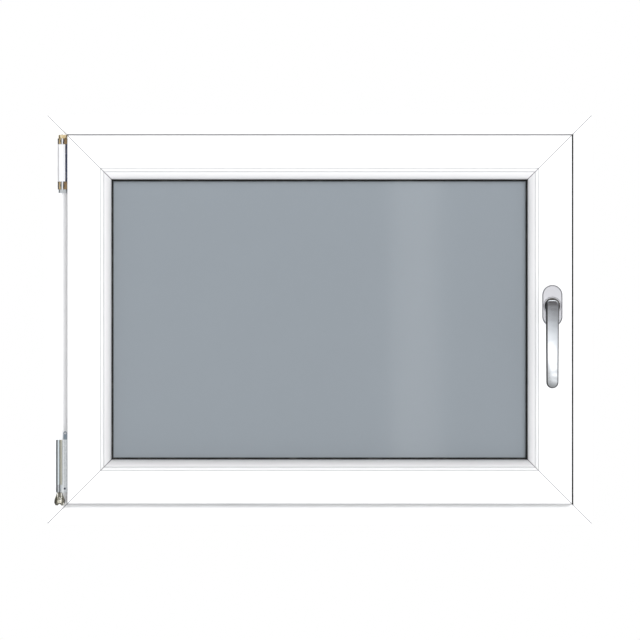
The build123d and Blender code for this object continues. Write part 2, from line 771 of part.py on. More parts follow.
def build_parts():
    """Every piece of the window under its node name."""
    frame_face = frame_profile()
    sash_face = sash_profile()
    bead_face = bead_profile()
    frame_welds = [(frame_front, 1), (frame_back, -1)]
    sash_welds = [(sash_front, 1), (sash_back, -1)]
    names = {
        "bottom": ("frame_sill", "sash_bottom_rail", "glazing_bead_bottom"),
        "top": ("frame_head", "sash_top_rail", "glazing_bead_top"),
        "left": ("frame_left_jamb", "sash_left_stile", "glazing_bead_left"),
        "right": ("frame_right_jamb", "sash_right_stile", "glazing_bead_right"),
    }
    parts = {}
    for side, (frame_name, sash_name, bead_name) in names.items():
        parts[frame_name] = mitred_bar(frame_face, side, frame_welds)
        parts[sash_name] = mitred_bar(sash_face, side, sash_welds)
        parts[bead_name] = mitred_bar(bead_face, side, joint=bead_joint)
    parts["frame_sill"] -= drain_slots()
    parts["sash_right_stile"] -= spindle_hole()
    parts["sash_overlap_seal"] = mitred_ring(
        pushed_in_seal(overlap_seal_inset, overlap_floor, overlap_back, frame_front)
    )
    parts["sash_overlap_seal"] += seal_flap("top", seal_flap_top)
    parts["sash_overlap_seal"] += seal_flap("right", seal_flap_handle_side)
    parts["sash_overlap_seal"] -= strap_window()
    parts["frame_stop_seal"] = mitred_ring(
        pushed_in_seal(stop_seal_inset, stop_front + seal_groove, stop_front, sash_back)
    )
    parts["inner_glazing_seal"] = mitred_ring(inner_seal_profile())
    parts["outer_glazing_seal"] = mitred_ring(outer_seal_profile())
    parts["spacer_frame"] = mitred_ring(spacer_profile())
    parts["edge_sealant"] = mitred_ring(sealant_profile())
    parts["inner_pane"] = pane(unit_front)
    parts["outer_pane"] = pane(cavity_back)
    parts["glazing_blocks"] = glazing_blocks()
    parts["drain_caps"] = drain_caps()
    parts["handle_rosette"] = handle_rosette()
    parts["handle_lever"] = handle_lever()
    parts["handle_spindle"] = handle_spindle()
    parts["top_hinge_bearing"] = top_hinge_bracket()
    parts["top_hinge_foot"] = top_hinge_foot()
    parts["top_hinge_arm"] = top_hinge_arm()
    parts["top_hinge_pin"] = top_hinge_pin()
    parts["top_hinge_cap"] = top_hinge_cap()
    parts["bottom_hinge_leaf"] = bottom_hinge_leaf()
    parts["bottom_hinge_bearing"] = bottom_hinge_bearing()
    parts["bottom_hinge_pin"] = bottom_hinge_pin()
    return parts


os.makedirs("parts", exist_ok=True)
for node, shape in build_parts().items():
    solids = shape if isinstance(shape, list) else shape.solids()
    export_step(Compound(children=list(solids)) if len(solids) > 1 else solids[0], f"parts/{node}.step")
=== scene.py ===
"""White tilt-and-turn PVC window, closed: its finishes, small fasteners, light and camera."""
import logging
import math
from dataclasses import dataclass
from enum import Enum
from typing import Callable

import bmesh
import bpy
from mathutils import Matrix, Vector


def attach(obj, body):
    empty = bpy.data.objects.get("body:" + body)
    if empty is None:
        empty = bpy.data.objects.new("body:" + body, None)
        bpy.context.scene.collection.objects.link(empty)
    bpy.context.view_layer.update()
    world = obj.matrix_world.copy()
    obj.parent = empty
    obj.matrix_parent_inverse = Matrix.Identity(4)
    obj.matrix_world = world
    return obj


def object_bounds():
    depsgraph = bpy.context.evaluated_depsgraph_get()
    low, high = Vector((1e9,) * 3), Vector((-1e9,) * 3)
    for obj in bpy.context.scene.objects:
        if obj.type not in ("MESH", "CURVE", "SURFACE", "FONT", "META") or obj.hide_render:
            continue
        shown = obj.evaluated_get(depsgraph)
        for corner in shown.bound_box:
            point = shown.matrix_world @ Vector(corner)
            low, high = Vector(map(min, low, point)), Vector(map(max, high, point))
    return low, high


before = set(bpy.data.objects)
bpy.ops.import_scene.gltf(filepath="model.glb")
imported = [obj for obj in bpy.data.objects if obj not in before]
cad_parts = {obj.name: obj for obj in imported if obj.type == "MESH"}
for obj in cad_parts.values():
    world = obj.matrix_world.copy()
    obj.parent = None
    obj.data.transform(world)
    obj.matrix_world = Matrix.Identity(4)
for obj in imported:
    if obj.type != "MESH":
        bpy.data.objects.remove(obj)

CAD_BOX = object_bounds()
MM = 0.001
PHOTO_PIXELS = 640
PIXEL = 1.4706 * MM
WELD_DISTANCE = 0.002 * MM
SHARP_ANGLE = math.radians(35)
log = logging.getLogger("pvc_window")


class Body(Enum):
    """Bodies that a piece can ride on."""

    WINDOW = "window"
    HANDLE = "handle"


class Run(Enum):
    """Direction in which a profile was extruded."""

    LEVEL = "level"
    UPRIGHT = "upright"


class Drive(Enum):
    """Recess that turns a screw."""

    HEX = "hexagon socket"
    CROSS = "cross"


class Value:
    """A node socket that Python's operators turn into Math nodes."""

    def __init__(self, tree: "NodeTree", socket: bpy.types.NodeSocket) -> None:
        """Wrap one output socket of a tree."""
        self.tree = tree
        self.socket = socket

    def _math(self, operation: str, *terms: "Value | float") -> "Value":
        """Math node on several terms.

        Args:
            operation: name of the Math node's operation.
            terms: values or numbers, in the order of the node's sockets.

        Returns:
            The node's result.
        """
        return self.tree.node("ShaderNodeMath", {"operation": operation}, dict(enumerate(terms)))

    def __add__(self, other: "Value | float") -> "Value":
        """Sum of two values."""
        return self._math("ADD", self, other)

    __radd__ = __add__

    def __sub__(self, other: "Value | float") -> "Value":
        """Difference of two values."""
        return self._math("SUBTRACT", self, other)

    def __rsub__(self, other: "Value | float") -> "Value":
        """Difference with the number in front."""
        return self._math("SUBTRACT", other, self)

    def __mul__(self, other: "Value | float") -> "Value":
        """Product of two values."""
        return self._math("MULTIPLY", self, other)

    __rmul__ = __mul__

    def __truediv__(self, other: "Value | float") -> "Value":
        """Quotient of two values."""
        return self._math("DIVIDE", self, other)

    def __rtruediv__(self, other: "Value | float") -> "Value":
        """Quotient with the number in front."""
        return self._math("DIVIDE", other, self)

    def __pow__(self, other: "Value | float") -> "Value":
        """Power of a value."""
        return self._math("POWER", self, other)

    def size(self) -> "Value":
        """Value without its sign."""
        return self._math("ABSOLUTE", self)

    def least(self, other: "Value | float") -> "Value":
        """Smaller of two values."""
        return self._math("MINIMUM", self, other)

    def most(self, other: "Value | float") -> "Value":
        """Larger of two values."""
        return self._math("MAXIMUM", self, other)

    def near(self, middle: float, reach: float, blur: float) -> "Value":
        """1 within reach of a middle value, falling to 0 over the blur.

        Args:
            middle: value in the middle of the band.
            reach: half of the band's width.
            blur: width of the soft edge outside it.

        Returns:
            The band's mask.
        """
        return 1.0 - (self - middle).size().between(reach, reach + blur)

    def between(self, low: float, high: float) -> "Value":
        """Smooth step from 0 at low to 1 at high.

        Args:
            low: value at which the result leaves 0.
            high: value at which the result reaches 1.

        Returns:
            The stepped value.
        """
        settings = {"interpolation_type": "SMOOTHSTEP", "clamp": True}
        inputs = {"Value": self, "From Min": low, "From Max": high}
        return self.tree.node("ShaderNodeMapRange", settings, inputs)


class NodeTree:
    """Node tree of a material or of the world."""

    def __init__(self, owner: "bpy.types.Material | bpy.types.World") -> None:
        """Empty the owner's tree.

        Args:
            owner: material or world.
        """
        owner.use_nodes = True
        self.nodes = owner.node_tree.nodes
        self.links = owner.node_tree.links
        self.nodes.clear()

    def fill(self, socket: bpy.types.NodeSocket, value: object) -> None:
        """Link a value to a socket, or set the socket's own number or colour.

        Args:
            socket: input to fill.
            value: a Value, a number or a tuple.
        """
        if isinstance(value, Value):
            self.links.new(value.socket, socket)
        elif isinstance(value, tuple) and socket.type == "RGBA" and len(value) == 3:
            socket.default_value = (*value, 1.0)
        else:
            socket.default_value = value

    def node(
        self, kind: str, settings: dict, inputs: dict, output: "str | int | None" = 0
    ) -> "Value | None":
        """Add any node.

        Args:
            kind: type name of the node.
            settings: the node's own properties; "stops" fills a colour ramp.
            inputs: values or links by socket name or number.
            output: which output to return, or None for a node without one.

        Returns:
            The chosen output.
        """
        made = self.nodes.new(kind)
        for key, value in settings.items():
            if key == "stops":
                self._set_stops(made.color_ramp, value)
            else:
                setattr(made, key, value)
        for key, value in inputs.items():
            self.fill(made.inputs[key], value)
        return None if output is None else Value(self, made.outputs[output])

    @staticmethod
    def _set_stops(ramp: bpy.types.ColorRamp, stops: list) -> None:
        """Set a ramp's stops.

        Args:
            ramp: ramp of a Color Ramp node.
            stops: pairs of position and colour.
        """
        while len(ramp.elements) < len(stops):
            ramp.elements.new(0.5)
        for element, (position, colour) in zip(ramp.elements, stops):
            element.position = position
            element.color = (*colour, 1.0)

    def ramp(self, factor: Value, stops: list) -> Value:
        """Colour ramp.

        Args:
            factor: value that picks the colour.
            stops: pairs of position and colour.

        Returns:
            The colour.
        """
        return self.node("ShaderNodeValToRGB", {"stops": stops}, {"Fac": factor})


class FinishTree(NodeTree):
    """Node tree of one material, with its Principled shader."""

    def __init__(self, name: str) -> None:
        """Make a material with only a Principled shader.

        Args:
            name: name of the material.
        """
        self.material = bpy.data.materials.new(name)
        super().__init__(self.material)
        self.shader = self.nodes.new("ShaderNodeBsdfPrincipled")
        output = self.nodes.new("ShaderNodeOutputMaterial")
        self.links.new(self.shader.outputs[0], output.inputs["Surface"])
        self.place = self.node("ShaderNodeTexCoord", {}, {}, "Object")

    def along(self, axis: str) -> Value:
        """Object coordinate along one axis, in metres.

        Args:
            axis: "X", "Y" or "Z".

        Returns:
            The coordinate.
        """
        return self.node("ShaderNodeSeparateXYZ", {}, {0: self.place}, axis)

    def span(self, axis: str, low: float, high: float) -> Value:
        """Mask of the stretch between two places along one axis.

        Args:
            axis: "X", "Y" or "Z".
            low: lower end in millimetres.
            high: upper end in millimetres.

        Returns:
            1 between the ends and 0 elsewhere.
        """
        return self.along(axis).near((low + high) / 2 * MM, (high - low) / 2 * MM, 0.2 * MM)

    def stretched(self, scale: tuple) -> Value:
        """Object coordinates, scaled.

        Args:
            scale: scale along each axis, in repeats a metre.

        Returns:
            The mapped coordinates.
        """
        inputs = {"Vector": self.place, "Scale": scale}
        return self.node("ShaderNodeMapping", {"vector_type": "POINT"}, inputs)

    def noise(self, scale: tuple, detail: float = 3.0, rough: float = 0.5) -> Value:
        """Noise from 0 to 1 with its own scale along each axis.

        Args:
            scale: repeats a metre along X, Y and Z.
            detail: octaves of the noise.
            rough: strength of the finer octaves.

        Returns:
            The noise's value.
        """
        inputs = {"Vector": self.stretched(scale), "Scale": 1.0, "Detail": detail, "Roughness": rough}
        return self.node("ShaderNodeTexNoise", {}, inputs)

    def cells(self, scale: tuple) -> Value:
        """Distance from the middle of the nearest Voronoi cell.

        Args:
            scale: repeats a metre along X, Y and Z.

        Returns:
            The distance.
        """
        inputs = {"Vector": self.stretched(scale), "Scale": 1.0}
        return self.node("ShaderNodeTexVoronoi", {"feature": "F1"}, inputs, "Distance")

    def mix(self, factor: Value, first: object, second: object) -> Value:
        """Mix of two colours.

        Args:
            factor: 0 gives the first colour and 1 the second.
            first: colour or link.
            second: colour or link.

        Returns:
            The mixed colour.
        """
        inputs = {0: factor, 6: first, 7: second}
        return self.node("ShaderNodeMix", {"data_type": "RGBA", "clamp_factor": True}, inputs, 2)

    def bump(self, height: Value, distance: float) -> Value:
        """Bump from a height.

        Args:
            height: height, from 0 to 1.
            distance: depth of the relief in metres.

        Returns:
            The normal.
        """
        inputs = {"Height": height, "Distance": distance, "Strength": 1.0}
        return self.node("ShaderNodeBump", {}, inputs, "Normal")

    def dress(self, **inputs: object) -> bpy.types.Material:
        """Fill the shader's sockets and return the material.

        Args:
            inputs: values by socket name, with underscores for spaces.

        Returns:
            The finished material.
        """
        for key, value in inputs.items():
            self.fill(self.shader.inputs[key.replace("_", " ")], value)
        return self.material


@dataclass(frozen=True)
class ExtrudedPvc:
    """Smooth white PVC with the faint lines of its die along the profile, and painted shade in its
    seams and on the bead's curve.
    """

    name: str
    run: Run
    colour: tuple = (0.865, 0.868, 0.875)
    shade: tuple = (0.84, 0.845, 0.855)
    # Colour of the seams: painted shade in the weld grooves, the bead's joint and its fine line, with
    # some dust in the welds.
    seam_shade: tuple = (0.40, 0.40, 0.41)
    # Colour of the bead's curve: painted shade where it turns towards the glass.
    reveal_shade: tuple = (0.82, 0.82, 0.83)
    half_width: float = 400.0 * MM
    half_height: float = 300.0 * MM
    weld_reach: float = 0.62 * MM
    weld_blur: float = 0.5 * MM
    bead_joint: tuple = (77.8 * MM, 0.35 * MM, 0.4 * MM)
    bead_joint_share: float = 0.65
    bead_line: tuple = (82.8 * MM, 0.4 * MM, 0.45 * MM)
    bead_line_share: float = 0.62
    shaded_throat: tuple = (82.4 * MM, 84.0 * MM)
    repeats_along: float = 1.5
    roughness: float = 0.26
    line_pitch: float = 1.3 * MM
    line_depth: float = 0.006 * MM

    def edges(self, tree: FinishTree) -> tuple:
        """Distances from the frame's nearest upright and level outer edges.

        Args:
            tree: tree of the finish.

        Returns:
            Two distances in metres.
        """
        from_side = self.half_width - tree.along("X").size()
        from_end = self.half_height - (tree.along("Z") - self.half_height).size()
        return from_side, from_end

    def seam_shade_mask(self, tree: FinishTree) -> Value:
        """Mask of the corner welds, the bead's joint and its fine line, where the colour is darkened:
        painted shade in these grooves, with some dust in the welds.

        Args:
            tree: tree of the finish.

        Returns:
            1 in a seam and 0 elsewhere.
        """
        from_side, from_end = self.edges(tree)
        inset = from_side.least(from_end)
        weld = (from_side - from_end).near(0.0, self.weld_reach, self.weld_blur)
        joint = inset.near(*self.bead_joint) * self.bead_joint_share
        line = inset.near(*self.bead_line) * self.bead_line_share
        return weld.most(joint).most(line)

    def material(self) -> bpy.types.Material:
        """Build the material."""
        tree = FinishTree(self.name)
        along, across = self.repeats_along, 1.0 / self.line_pitch
        scale = (along, across, across) if self.run is Run.LEVEL else (across, across, along)
        lines = tree.noise(scale, 2.0, 0.6)
        waves = tree.noise((9.0, 9.0, 9.0), 3.0, 0.55)
        grain = tree.noise((2600.0, 2600.0, 2600.0), 2.0, 0.5)
        colour = tree.mix((waves * 0.7 + lines * 0.3).between(0.35, 0.7), self.shade, self.colour)
        from_side, from_end = self.edges(tree)
        # Painted shade on the bead's curve as it turns towards the glass.
        shaded_throat = from_side.least(from_end).between(*self.shaded_throat)
        colour = tree.mix(shaded_throat, colour, self.reveal_shade)
        # Painted shade in the welds, the bead's joint and its fine line, with some dust in the welds.
        colour = tree.mix(self.seam_shade_mask(tree), colour, self.seam_shade)
        rough = self.roughness + (waves - 0.5) * 0.08 + (lines - 0.5) * 0.06
        relief = tree.bump(lines * 0.7 + grain * 0.3, self.line_depth)
        return tree.dress(
            Base_Color=colour, Roughness=rough, Normal=relief, Specular_IOR_Level=0.45,
            Coat_Weight=0.12, Coat_Roughness=0.12,
        )


@dataclass(frozen=True)
class MouldedPlastic:
    """Injection-moulded plastic with a fine spark-eroded texture."""

    name: str
    colour: tuple
    shade: tuple
    roughness: float = 0.34
    texture_pitch: float = 0.25 * MM
    texture_depth: float = 0.01 * MM

    def material(self) -> bpy.types.Material:
        """Build the material."""
        tree = FinishTree(self.name)
        fine = 1.0 / self.texture_pitch
        texture = tree.noise((fine, fine, fine), 3.0, 0.6)
        cloud = tree.noise((60.0, 60.0, 60.0), 2.0)
        colour = tree.mix(cloud.between(0.3, 0.7), self.shade, self.colour)
        rough = self.roughness + (cloud - 0.5) * 0.1 + (texture - 0.5) * 0.08
        relief = tree.bump(texture, self.texture_depth)
        return tree.dress(Base_Color=colour, Roughness=rough, Normal=relief)


@dataclass(frozen=True)
class Rubber:
    """Black sealing rubber, matt, with extrusion lines and a dusty bloom."""

    name: str
    colour: tuple = (0.014, 0.014, 0.013)
    bloom: tuple = (0.055, 0.055, 0.052)
    roughness: float = 0.62

    def material(self) -> bpy.types.Material:
        """Build the material."""
        tree = FinishTree(self.name)
        bloom = tree.noise((40.0, 40.0, 40.0), 4.0, 0.65)
        pores = tree.noise((3000.0, 3000.0, 3000.0), 2.0, 0.6)
        colour = tree.mix(bloom.between(0.45, 0.8), self.colour, self.bloom)
        rough = self.roughness + (bloom - 0.5) * 0.2
        relief = tree.bump(pores, 0.02 * MM)
        return tree.dress(
            Base_Color=colour, Roughness=rough, Normal=relief, Specular_IOR_Level=0.35
        )


@dataclass(frozen=True)
class TintedGlass:
    """One pane of grey-blue coated float glass."""

    name: str
    colour: tuple = (0.242, 0.276, 0.307)
    cover: float = 0.62
    roughness: float = 0.05

    def material(self) -> bpy.types.Material:
        """Build the material."""
        tree = FinishTree(self.name)
        haze = tree.noise((3.0, 3.0, 2.0), 3.0, 0.5)
        dust = tree.noise((900.0, 900.0, 900.0), 3.0, 0.7)
        cover = self.cover + (haze - 0.5) * 0.02 + dust.between(0.72, 0.85) * 0.03
        rough = self.roughness + dust.between(0.6, 0.8) * 0.03
        waves = tree.noise((2.2, 2.2, 1.4), 1.0, 0.4)
        lighter = tuple(channel * 1.04 for channel in self.colour)
        colour = tree.mix(haze, self.colour, lighter)
        return tree.dress(
            Base_Color=colour, Roughness=rough, Alpha=cover, Normal=tree.bump(waves, 0.02 * MM),
            Specular_IOR_Level=0.6,
        )


@dataclass(frozen=True)
class SatinMetal:
    """Satin-finished metal with a soft brushed grain."""

    name: str
    colour: tuple
    shade: tuple
    roughness: float
    grain: tuple = (4200.0, 900.0, 260.0)
    grain_depth: float = 0.004 * MM

    def tint(self, tree: FinishTree, colour: Value) -> Value:
        """Colour as it is; a kind of metal with a pattern changes it."""
        return colour

    def material(self) -> bpy.types.Material:
        """Build the material."""
        tree = FinishTree(self.name)
        grain = tree.noise(self.grain, 3.0, 0.6)
        cloud = tree.noise((70.0, 70.0, 45.0), 3.0, 0.55)
        colour = tree.mix((grain * 0.4 + cloud * 0.6).between(0.3, 0.7), self.shade, self.colour)
        colour = self.tint(tree, colour)
        rough = self.roughness + (cloud - 0.5) * 0.1 + (grain - 0.5) * 0.1
        return tree.dress(
            Base_Color=colour, Metallic=1.0, Roughness=rough, Normal=tree.bump(grain, self.grain_depth)
        )


@dataclass(frozen=True)
class LeverMetal(SatinMetal):
    """Satin metal of the lever, with a painted dark reflection on its rims that is a little paler on
    its flanks.
    """

    middle_x: float = 343.3 * MM
    axis_x: float = 342.4 * MM
    axis_z: float = 320.0 * MM
    tip_z: float = 207.6 * MM
    tip_radius: float = 9.0 * MM
    taper: float = 0.7 * MM
    # Colour of the painted dark reflection on the rims.
    rim: tuple = (0.07, 0.06, 0.05)
    rim_reach: tuple = (7.4 * MM, 8.1 * MM)
    rim_share: float = 0.9
    flank_depth: tuple = (0.5 * MM, 0.2 * MM)
    flank_relief: float = 0.7

    def tint(self, tree: FinishTree, colour: Value) -> Value:
        """Paint a dark reflection on the rim.

        Args:
            tree: tree of the finish.
            colour: colour of the metal so far.

        Returns:
            The colour with its painted rim reflection.
        """
        past_tip = (self.tip_z - tree.along("Z")).most(0.0)
        from_middle, from_axis = (
            (across * across + past_tip * past_tip) ** 0.5
            for across in (tree.along("X") - self.middle_x, tree.along("X") - self.axis_x)
        )
        half_width = tree.along("Z").between(self.tip_z, self.axis_z) * self.taper + self.tip_radius
        flank = from_axis.between(*(half_width - depth for depth in self.flank_depth))
        # Painted dark reflection along the rims, centred a little right of the axis so that the left
        # rim is wider.
        rim = from_middle.between(*self.rim_reach) * self.rim_share
        return tree.mix(rim * (1.0 - flank * self.flank_relief), colour, self.rim)


@dataclass(frozen=True)
class RosetteMetal(SatinMetal):
    """Satin metal of the rosette, with painted shade in the collar's dish."""

    axis: tuple = (342.4 * MM, 320.0 * MM)
    dish_shade: tuple = (0.34, 0.31, 0.27)
    dish_shade_share: float = 0.85
    dish_edge: tuple = (10.6 * MM, 12.0 * MM)

    def tint(self, tree: FinishTree, colour: Value) -> Value:
        """Paint shade in the dish round the lever's neck.

        Args:
            tree: tree of the finish.
            colour: colour of the metal so far.

        Returns:
            The colour with its painted shade.
        """
        across = tree.along("X") - self.axis[0]
        upright = tree.along("Z") - self.axis[1]
        from_axis = (across * across + upright * upright) ** 0.5
        # Painted shade in the dish round the lever's neck.
        dish = 1.0 - from_axis.between(*self.dish_edge)
        return tree.mix(dish * self.dish_shade_share, colour, self.dish_shade)


@dataclass(frozen=True)
class PlatedSteel:
    """Plated steel with a mottled, cloudy passivation.

    Each band is a tone of painted light or shade, such as a highlight, a dark reflection or shade in a
    groove, with its low and high X and its low and high Z in millimetres.
    """

    name: str
    stops: list
    roughness: float = 0.32
    mottle: float = 420.0
    shading_bands: tuple = ()

    def material(self) -> bpy.types.Material:
        """Build the material."""
        tree = FinishTree(self.name)
        cloud = tree.noise((self.mottle, self.mottle, self.mottle * 0.6), 4.0, 0.62)
        spangle = tree.cells((self.mottle * 3,) * 3)
        colour = tree.ramp(cloud * 0.8 + spangle * 0.25, self.stops)
        # Painted highlights, shade and dark reflections, each in its own box.
        for tone, across, upright in self.shading_bands:
            band = tree.span("X", *across) * tree.span("Z", *upright)
            colour = tree.mix(band * (cloud * 0.5 + 0.55), colour, tone)
        rough = self.roughness + (cloud - 0.5) * 0.25
        relief = tree.bump(cloud * 0.6 + spangle * 0.4, 0.02 * MM)
        return tree.dress(Base_Color=colour, Metallic=1.0, Roughness=rough, Normal=relief)


class Finishes:
    """Every finish of the window, made once."""

    def __init__(self) -> None:
        """Build the materials."""
        self.level_pvc = ExtrudedPvc("white_pvc_level", Run.LEVEL).material()
        self.upright_pvc = ExtrudedPvc("white_pvc_upright", Run.UPRIGHT).material()
        self.white_cap = MouldedPlastic(
            "white_cap", (0.68, 0.685, 0.70), (0.65, 0.655, 0.67)
        ).material()
        self.drain_cap = MouldedPlastic(
            "drain_cap", (0.82, 0.82, 0.82), (0.78, 0.78, 0.77)
        ).material()
        self.packer = MouldedPlastic(
            "packer", (0.05, 0.16, 0.33), (0.04, 0.13, 0.28), 0.45
        ).material()
        self.rubber = Rubber("black_rubber").material()
        self.sealant = Rubber(
            "grey_sealant", (0.05, 0.05, 0.05), (0.09, 0.09, 0.09), 0.7
        ).material()
        self.glass = TintedGlass("tinted_glass").material()
        self.satin = RosetteMetal(
            "satin_rosette", (0.515, 0.515, 0.54), (0.48, 0.48, 0.505), 0.34
        ).material()
        self.lever = LeverMetal("satin_lever", (0.85, 0.88, 0.91), (0.82, 0.85, 0.88), 0.3).material()
        self.spacer = SatinMetal(
            "spacer_aluminium", (0.62, 0.63, 0.64), (0.52, 0.53, 0.54), 0.4
        ).material()
        zinc = [(0.2, (0.36, 0.39, 0.42)), (0.5, (0.58, 0.61, 0.63)), (0.8, (0.80, 0.82, 0.82))]
        self.zinc = PlatedSteel("zinc_plate", zinc).material()
        # Painted tones on the leaf: shade in the groove, a highlight and a dark left edge on the
        # barrel, light on the plate's left, a dark reflection on the eyelet and shade on the right
        # edge.
        leaf_light_and_shade = (
            ((0.50, 0.48, 0.38), (-382.5, -378.8), (57.0, 124.0)),
            ((0.88, 0.97, 1.00), (-385.3, -382.5), (57.0, 124.0)),
            ((0.03, 0.05, 0.07), (-389.0, -385.3), (44.0, 124.0)),
            ((0.86, 0.89, 0.91), (-378.6, -376.2), (44.0, 124.0)),
            ((0.16, 0.21, 0.26), (-378.4, -371.0), (123.5, 136.0)),
            ((0.14, 0.17, 0.21), (-371.5, -370.0), (44.0, 136.0)),
        )
        self.leaf = PlatedSteel("zinc_leaf", zinc, shading_bands=leaf_light_and_shade).material()
        gold = [
            (0.15, (0.10, 0.07, 0.06)),
            (0.38, (0.66, 0.46, 0.22)),
            (0.55, (0.92, 0.76, 0.46)),
            (0.8, (0.97, 0.92, 0.78)),
        ]
        # Painted shade on the bearing: navy down its left side, brown on its right.
        navy_shade = ((0.03, 0.04, 0.07), (-386.0, -383.0), (480.0, 566.0))
        brown_shade = ((0.26, 0.15, 0.07), (-376.3, -371.0), (480.0, 566.0))
        self.yellow_zinc = PlatedSteel("yellow_zinc_plate", gold, shading_bands=(navy_shade, brown_shade)).material()
        blue = [(0.2, (0.03, 0.035, 0.06)), (0.6, (0.07, 0.08, 0.13)), (0.9, (0.2, 0.22, 0.3))]
        self.blue_steel = PlatedSteel("blue_passivated_steel", blue).material()
        self.chrome = SatinMetal("chrome", (0.86, 0.87, 0.88), (0.80, 0.81, 0.83), 0.08).material()
        bright = [
            (0.3, (0.03, 0.03, 0.03)),
            (0.47, (0.45, 0.42, 0.32)),
            (0.62, (0.97, 0.95, 0.86)),
        ]
        # Painted dark reflections down the polished bearing's outlines.
        dark_reflection_lines = ((-392.0, -388.8), (-387.1, -386.0), (-378.6, -377.5), (-375.6, -372.0))
        bud = tuple(((0.02, 0.02, 0.02), line, (20.0, 46.0)) for line in dark_reflection_lines)
        self.bud = PlatedSteel("polished_bearing", bright, 0.12, 260.0, bud).material()
        self.dark_steel = PlatedSteel("dark_screw_steel", blue, 0.3).material()


def weld_and_round(piece: bpy.types.Object, width: float) -> None:
    """Close a CAD node's loose triangles and soften its sharp edges.

    Args:
        piece: object to finish.
        width: width of the softened edge in metres.
    """
    weld = piece.modifiers.new("weld", "WELD")
    weld.merge_threshold = WELD_DISTANCE
    bevel = piece.modifiers.new("soft_edges", "BEVEL")
    bevel.width = width
    bevel.segments = 2
    bevel.limit_method = "ANGLE"
    bevel.angle_limit = SHARP_ANGLE
    bevel.use_clamp_overlap = True
    bevel.harden_normals = True


def dress_node(node: str, material: bpy.types.Material, rounding: float = 0.0) -> None:
    """Give a CAD node its finish.

    Args:
        node: name of the CAD node.
        material: its finish.
        rounding: width of its softened edges in metres, or 0 for none.
    """
    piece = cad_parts[node]
    piece.data.materials.clear()
    piece.data.materials.append(material)
    if rounding:
        weld_and_round(piece, rounding)
    log.info("dressed %s in %s", node, material.name)


@dataclass
class Fastener:
    """Screw head that faces the room, with its drive sunk into it. Sizes are in millimetres."""

    name: str
    place: tuple
    radius: float
    height: float
    drive: Drive
    segments: int = 32

    def recess(self) -> list:
        """Corners of the drive's recess, in the head's own plane.

        Returns:
            Pairs of coordinates in millimetres.
        """
        if self.drive is Drive.HEX:
            reach = 0.6 * self.radius
            angles = [math.radians(60 * step) for step in range(6)]
            return [(reach * math.cos(angle), reach * math.sin(angle)) for angle in angles]
        reach, half = 0.62 * self.radius, 0.15 * self.radius
        arm = [(reach, -half), (reach, half), (half, half)]
        corners = []
        for quarter in range(4):
            turn = Matrix.Rotation(math.radians(90 * quarter + 45), 2)
            corners += [tuple(turn @ Vector(corner)) for corner in arm]
        return corners

    def build(self, material: bpy.types.Material) -> None:
        """Make the screw head and let it ride on the window.

        Args:
            material: its finish.
        """
        mesh = bmesh.new()
        rim = bmesh.ops.create_circle(mesh, segments=self.segments, radius=self.radius)["verts"]
        inner = self.radius * 0.86
        top = bmesh.ops.create_circle(mesh, segments=self.segments, radius=inner)["verts"]
        bmesh.ops.translate(mesh, verts=top, vec=(0.0, 0.0, self.height))
        loops = [rim, top]
        for depth in (self.height, self.height * 0.25):
            loops.append([mesh.verts.new((x, y, depth)) for x, y in self.recess()])
        for corners in loops[2:]:
            for start, end in zip(corners, corners[1:] + corners[:1]):
                mesh.edges.new((start, end))
        for lower, upper in zip(loops, loops[1:]):
            inside = set(lower) | set(upper)
            free = [edge for edge in mesh.edges if len(edge.link_faces) < 2]
            bmesh.ops.bridge_loops(mesh, edges=[edge for edge in free if set(edge.verts) <= inside])
        mesh.faces.new(loops[-1])
        mesh.faces.new(loops[0])
        bmesh.ops.scale(mesh, vec=(MM, MM, MM), verts=mesh.verts)
        facing_room = Matrix.Rotation(math.radians(90), 4, "X")
        stand = Matrix.Translation(Vector(self.place) * MM) @ facing_room
        bmesh.ops.transform(mesh, matrix=stand, verts=mesh.verts)
        bmesh.ops.remove_doubles(mesh, verts=mesh.verts, dist=0.001 * MM)
        bmesh.ops.recalc_face_normals(mesh, faces=mesh.faces)
        data = bpy.data.meshes.new(self.name)
        mesh.to_mesh(data)
        mesh.free()
        data.materials.append(material)
        screw = bpy.data.objects.new(self.name, data)
        bpy.context.scene.collection.objects.link(screw)
        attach(screw, Body.WINDOW.value)


@dataclass
class OuterFrame:
    """The four welded frame members, their stop seal and the outdoor drain caps."""

    finishes: Finishes
    rounding: float = 0.35 * MM

    def build(self) -> None:
        """Dress the members."""
        for node in ("frame_sill", "frame_head"):
            dress_node(node, self.finishes.level_pvc, self.rounding)
        for node in ("frame_left_jamb", "frame_right_jamb"):
            dress_node(node, self.finishes.upright_pvc, self.rounding)
        dress_node("frame_stop_seal", self.finishes.rubber)
        dress_node("drain_caps", self.finishes.drain_cap)


@dataclass
class Sash:
    """The four welded sash members, the beads and the overlap seal."""

    finishes: Finishes
    rounding: float = 0.3 * MM

    def build(self) -> None:
        """Dress the members."""
        for node in ("sash_bottom_rail", "sash_top_rail", "glazing_bead_bottom", "glazing_bead_top"):
            dress_node(node, self.finishes.level_pvc, self.rounding)
        for node in ("sash_left_stile", "sash_right_stile", "glazing_bead_left", "glazing_bead_right"):
            dress_node(node, self.finishes.upright_pvc, self.rounding)
        dress_node("sash_overlap_seal", self.finishes.rubber)


@dataclass
class GlazingUnit:
    """Two panes on a spacer, with their seals, sealant and packers."""

    finishes: Finishes

    def build(self) -> None:
        """Dress the unit."""
        for node in ("inner_pane", "outer_pane"):
            dress_node(node, self.finishes.glass)
        for node in ("inner_glazing_seal", "outer_glazing_seal"):
            dress_node(node, self.finishes.rubber)
        dress_node("spacer_frame", self.finishes.spacer)
        dress_node("edge_sealant", self.finishes.sealant)
        dress_node("glazing_blocks", self.finishes.packer)


